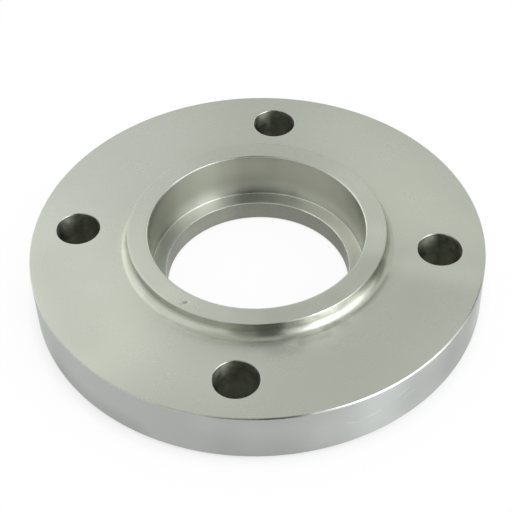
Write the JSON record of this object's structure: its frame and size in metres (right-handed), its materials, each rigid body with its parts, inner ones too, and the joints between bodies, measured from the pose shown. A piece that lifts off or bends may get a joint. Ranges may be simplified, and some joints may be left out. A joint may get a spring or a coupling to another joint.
{
  "type": "socket weld flange",
  "caption": "Round steel pipe flange with a low hub, a stepped pipe socket, a through bore, a raised gasket face and bolt holes in a circle.",
  "frame": {"origin": "centre of the raised gasket face, on the flange's axis", "axes": "+Z along the axis, from the gasket face towards the hub; two bolt holes lie on the X axis and two on the Y axis"},
  "size_m": [0.19, 0.19, 0.031],
  "materials": {
    "turned_steel": "satin turned steel, bare, with fine concentric tool marks"
  },
  "bodies": {
    "root": {"flange": "turned_steel"}
  },
  "joints": []
}
